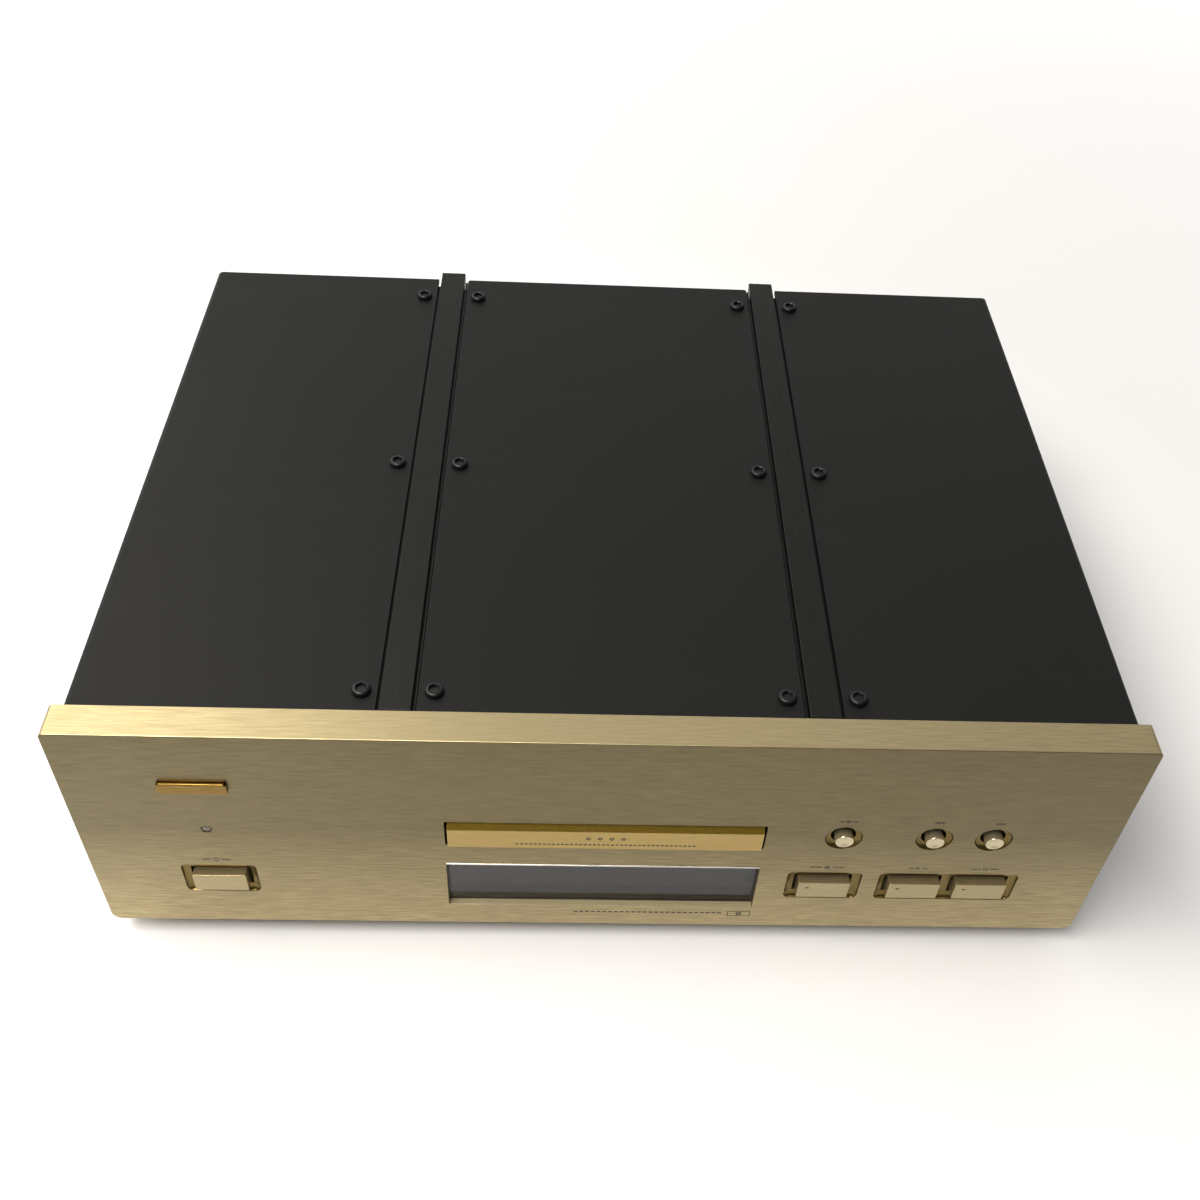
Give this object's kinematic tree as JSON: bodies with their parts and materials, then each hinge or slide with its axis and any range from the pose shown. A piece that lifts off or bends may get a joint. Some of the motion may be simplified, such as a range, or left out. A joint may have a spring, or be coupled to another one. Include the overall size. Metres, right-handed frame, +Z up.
{
  "type": "cd player",
  "caption": "Full-width hi-fi disc player: thick aluminium front with sliding disc tray, window and push buttons, screwed top covers, working loading and pickup mechanism.",
  "frame": {"origin": "middle of the bounding box's bottom face, on the surface the feet stand on", "axes": "+X to the right seen from the front, +Y from the front panel to the rear, +Z up"},
  "size_m": [0.445, 0.3326, 0.1506],
  "materials": {
    "champagne_aluminium": "anodised, fine brushed grain, satin",
    "gold_aluminium": "anodised gold, polished",
    "black_sheet": "satin black powder coat",
    "black_bar": "black anodised, satin",
    "black_steel": "blackened, semi-gloss",
    "zinc_steel": "bright zinc plate",
    "smoked_glass": "smoked, glossy",
    "black_plastic": "moulded, fine texture",
    "white_plastic": "natural acetal",
    "circuit_board": "solder-masked laminate",
    "transformer_tape": "wound polyester tape",
    "belt_rubber": "matte",
    "gold_plate": "gold plated, bright"
  },
  "bodies": {
    "case": {"front_panel": "champagne_aluminium", "display_window": "smoked_glass", "display_module": "black_plastic", "front_circuit_board": "circuit_board", "bottom_plate": "black_sheet", "rear_panel": "black_sheet", "beam_left": "black_bar", "beam_right": "black_bar", "top_cover_left": "black_sheet", "top_cover_center": "black_sheet", "top_cover_right": "black_sheet", "cover_screw_01": "black_steel", "cover_screw_02": "black_steel", "cover_screw_03": "black_steel", "cover_screw_04": "black_steel", "cover_screw_05": "black_steel", "cover_screw_06": "black_steel", "cover_screw_07": "black_steel", "cover_screw_08": "black_steel", "cover_screw_09": "black_steel", "cover_screw_10": "black_steel", "cover_screw_11": "black_steel", "cover_screw_12": "black_steel", "foot_front_left": "black_plastic", "foot_front_right": "black_plastic", "foot_rear_left": "black_plastic", "foot_rear_right": "black_plastic", "power_transformer": "transformer_tape", "power_supply_board": "circuit_board", "main_circuit_board": "circuit_board", "output_jack_left": "gold_plate", "output_jack_right": "gold_plate", "mains_inlet": "black_plastic", "mechanism_side_left": "zinc_steel", "mechanism_side_right": "zinc_steel", "mechanism_deck": "zinc_steel", "clamp_bridge": "zinc_steel", "loading_motor": "zinc_steel", "loading_belt": "belt_rubber"},
    "tray": {"disc_tray": "black_plastic", "tray_lid": "gold_aluminium"},
    "drive_gear": {"drive_gear": "white_plastic"},
    "motor_pulley": {"motor_pulley": "white_plastic"},
    "cam_slider": {"cam_slider": "white_plastic"},
    "traverse": {"traverse_base": "zinc_steel", "spindle_motor": "zinc_steel", "sled_motor": "zinc_steel", "guide_rod_left": "zinc_steel", "guide_rod_right": "zinc_steel"},
    "turntable": {"turntable": "black_plastic"},
    "disc_clamper": {"disc_clamper": "black_plastic"},
    "sled": {"optical_pickup": "black_plastic"},
    "sled_gear": {"sled_gear": "white_plastic"},
    "power_button": {"power_button": "champagne_aluminium"},
    "open_close_button": {"open_close_button": "champagne_aluminium"},
    "play_button": {"play_button": "champagne_aluminium"},
    "pause_button": {"pause_button": "champagne_aluminium"},
    "stop_button": {"stop_button": "champagne_aluminium"},
    "previous_button": {"previous_button": "champagne_aluminium"},
    "next_button": {"next_button": "champagne_aluminium"}
  },
  "joints": [
    {"name": "tray_slide", "type": "slide", "parent": "case", "child": "tray", "axis": [0, -1, 0], "range_m": [0, 0.15]},
    {"name": "drive_gear_turn", "type": "hinge", "parent": "case", "child": "drive_gear", "pos_m": [0.0417, -0.12575, 0.0685], "axis": [0, 0, -1], "range_deg": [-1, 860.5]},
    {"name": "motor_pulley_turn", "type": "hinge", "parent": "case", "child": "motor_pulley", "pos_m": [0.008, -0.12975, 0.0685], "axis": [0, 0, -1], "range_deg": [-1, 2580]},
    {"name": "traverse_lift", "type": "slide", "parent": "case", "child": "traverse", "axis": [0, 0, 1], "range_m": [0, 0.008]},
    {"name": "cam_slide", "type": "slide", "parent": "case", "child": "cam_slider", "axis": [1, 0, 0], "range_m": [-0.0001, 0.0161]},
    {"name": "turntable_spin", "type": "hinge", "parent": "traverse", "child": "turntable", "pos_m": [0, -0.08775, 0.0785], "axis": [0, 0, 1], "continuous": true},
    {"name": "clamper_spin", "type": "hinge", "parent": "case", "child": "disc_clamper", "pos_m": [0, -0.08775, 0.099], "axis": [0, 0, 1], "continuous": true},
    {"name": "sled_slide", "type": "slide", "parent": "traverse", "child": "sled", "axis": [0, 1, 0], "range_m": [0, 0.036]},
    {"name": "sled_gear_turn", "type": "hinge", "parent": "traverse", "child": "sled_gear", "pos_m": [-0.0396, -0.04025, 0.0562], "axis": [0, 0, 1], "range_deg": [-1, 345]},
    {"name": "power_press", "type": "slide", "parent": "case", "child": "power_button", "axis": [0, 1, 0], "range_m": [0, 0.003], "stiffness_N_per_m": 600},
    {"name": "open_close_press", "type": "slide", "parent": "case", "child": "open_close_button", "axis": [0, 1, 0], "range_m": [0, 0.0015], "stiffness_N_per_m": 600},
    {"name": "play_press", "type": "slide", "parent": "case", "child": "play_button", "axis": [0, 1, 0], "range_m": [0, 0.0015], "stiffness_N_per_m": 600},
    {"name": "pause_press", "type": "slide", "parent": "case", "child": "pause_button", "axis": [0, 1, 0], "range_m": [0, 0.0015], "stiffness_N_per_m": 600},
    {"name": "stop_press", "type": "slide", "parent": "case", "child": "stop_button", "axis": [0, 1, 0], "range_m": [0, 0.0015], "stiffness_N_per_m": 600},
    {"name": "previous_press", "type": "slide", "parent": "case", "child": "previous_button", "axis": [0, 1, 0], "range_m": [0, 0.0015], "stiffness_N_per_m": 600},
    {"name": "next_press", "type": "slide", "parent": "case", "child": "next_button", "axis": [0, 1, 0], "range_m": [0, 0.0015], "stiffness_N_per_m": 600}
  ],
  "couplings": [
    {"joint": "drive_gear_turn", "follows": "tray_slide", "rad_per_m": 100},
    {"joint": "motor_pulley_turn", "follows": "tray_slide", "rad_per_m": 300},
    {"joint": "cam_slide", "follows": "traverse_lift", "ratio": 2},
    {"joint": "clamper_spin", "follows": "turntable_spin", "ratio": 1},
    {"joint": "sled_gear_turn", "follows": "sled_slide", "rad_per_m": 166.67}
  ]
}
